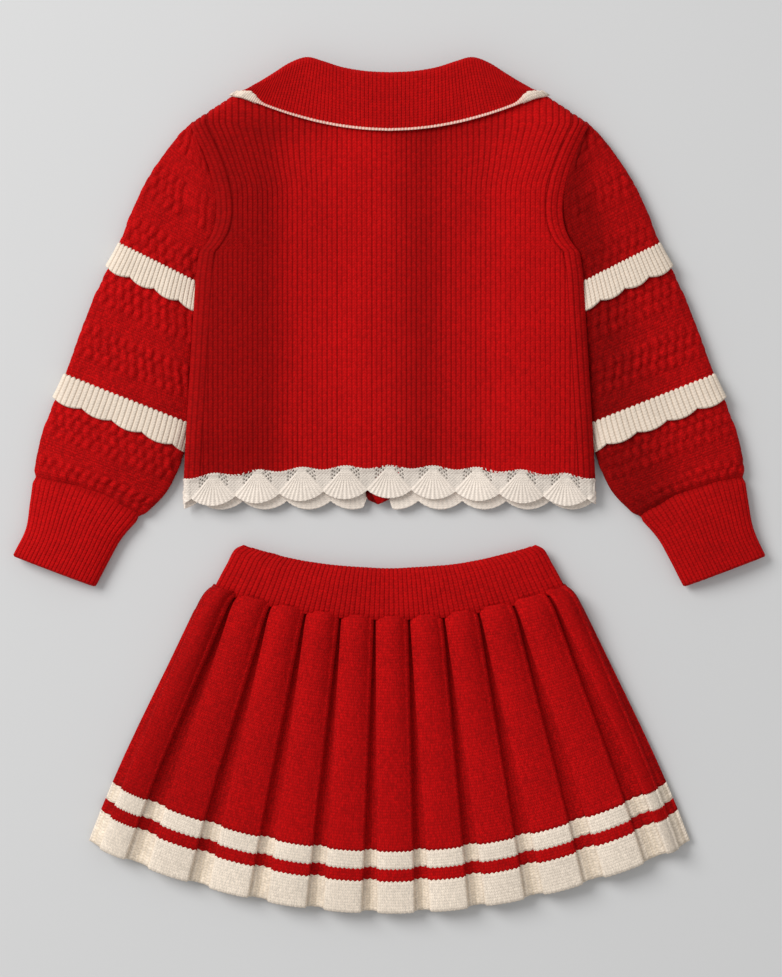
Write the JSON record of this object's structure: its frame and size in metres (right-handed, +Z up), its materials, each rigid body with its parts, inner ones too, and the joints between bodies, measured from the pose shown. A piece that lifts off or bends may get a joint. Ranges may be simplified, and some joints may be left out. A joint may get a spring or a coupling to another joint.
{
  "type": "cheer uniform",
  "caption": "Child's knitted red and cream set laid flat face down: cropped collared cardigan with frilled sleeves above a pleated, striped skirt.",
  "frame": {"origin": "on the table, under the middle of the box round the whole set", "axes": "+Z up out of the table, +Y from the skirt's hem towards the cardigan's collar, +X towards the wearer's right sleeve; the set lies face down"},
  "size_m": [0.64, 0.7259, 0.0182],
  "materials": {
    "red_rib_knit": "ribbed yarn, soft sheen",
    "red_blister_knit": "raised blister stitch yarn",
    "red_plain_knit": "plain stocking stitch yarn",
    "cream_rib": "ribbed cream yarn",
    "cream_lace": "openwork cream yarn",
    "cream_knit": "plain cream yarn",
    "elastic": "woven elastic",
    "button": "polished four-hole button"
  },
  "bodies": {
    "cardigan": {"back_panel": "red_rib_knit", "back_lace": "cream_lace", "collar_stand": "red_rib_knit", "left_front_side": "red_rib_knit", "left_side_seam": "red_rib_knit", "left_shoulder_seam": "red_rib_knit", "left_side_lace": "cream_lace", "left_collar_wrap": "red_rib_knit", "left_wrap_trim": "cream_rib", "left_sleeve_cap": "red_blister_knit", "right_front_side": "red_rib_knit", "right_side_seam": "red_rib_knit", "right_shoulder_seam": "red_rib_knit", "right_side_lace": "cream_lace", "right_collar_wrap": "red_rib_knit", "right_wrap_trim": "cream_rib", "right_sleeve_cap": "red_blister_knit"},
    "collar": {"collar_fall": "red_rib_knit", "collar_fall_trim": "cream_rib"},
    "left_sleeve": {"left_upper_sleeve": "red_blister_knit", "left_upper_frill": "cream_rib", "left_middle_sleeve": "red_blister_knit", "left_lower_frill": "cream_rib", "left_lower_sleeve": "red_blister_knit", "left_cuff": "red_rib_knit"},
    "right_sleeve": {"right_upper_sleeve": "red_blister_knit", "right_upper_frill": "cream_rib", "right_middle_sleeve": "red_blister_knit", "right_lower_frill": "cream_rib", "right_lower_sleeve": "red_blister_knit", "right_cuff": "red_rib_knit"},
    "left_front": {"left_front_panel": "red_rib_knit", "left_placket": "red_rib_knit", "left_front_lace": "cream_lace", "left_collar_leaf": "red_rib_knit", "left_leaf_trim": "cream_rib", "button_1": "button", "button_2": "button", "button_3": "button", "button_4": "button", "button_5": "button"},
    "right_front": {"right_front_panel": "red_rib_knit", "right_placket": "red_rib_knit", "right_front_lace": "cream_lace", "right_collar_leaf": "red_rib_knit", "right_leaf_trim": "cream_rib"},
    "skirt": {"waistband": "red_rib_knit", "waist_elastic": "elastic", "left_skirt_seam": "red_plain_knit", "right_skirt_seam": "red_plain_knit", "back_pleats": "red_plain_knit", "back_upper_stripe": "cream_knit", "back_middle_stripe": "red_plain_knit", "back_hem_stripe": "cream_knit", "front_pleats": "red_plain_knit", "front_upper_stripe": "cream_knit", "front_middle_stripe": "red_plain_knit", "front_hem_stripe": "cream_knit"}
  },
  "joints": [
    {"name": "collar_turn_up", "type": "hinge", "parent": "cardigan", "child": "collar", "pos_m": [0, 0.351, 0.0184], "axis": [-1, 0, 0], "range_deg": [0, 150]},
    {"name": "left_sleeve_fold", "type": "hinge", "parent": "cardigan", "child": "left_sleeve", "pos_m": [-0.1768, 0.1, 0.0156], "axis": [0, 1, 0], "range_deg": [0, 150]},
    {"name": "right_sleeve_fold", "type": "hinge", "parent": "cardigan", "child": "right_sleeve", "pos_m": [0.1768, 0.1, 0.0156], "axis": [0, -1, 0], "range_deg": [0, 150]},
    {"name": "right_front_open", "type": "hinge", "parent": "cardigan", "child": "right_front", "pos_m": [0.075, 0.15, -0.0002], "axis": [0, -1, 0], "range_deg": [0, 150]},
    {"name": "left_front_open", "type": "hinge", "parent": "cardigan", "child": "left_front", "pos_m": [-0.075, 0.15, -0.0002], "axis": [0, 1, 0], "range_deg": [0, 75]},
    {"name": "skirt_lift", "type": "slide", "parent": "cardigan", "child": "skirt", "axis": [0, 0, 1], "range_m": [0, 0.25]}
  ],
  "couplings": [
    {"joint": "left_front_open", "follows": "right_front_open", "ratio": 0.5}
  ]
}
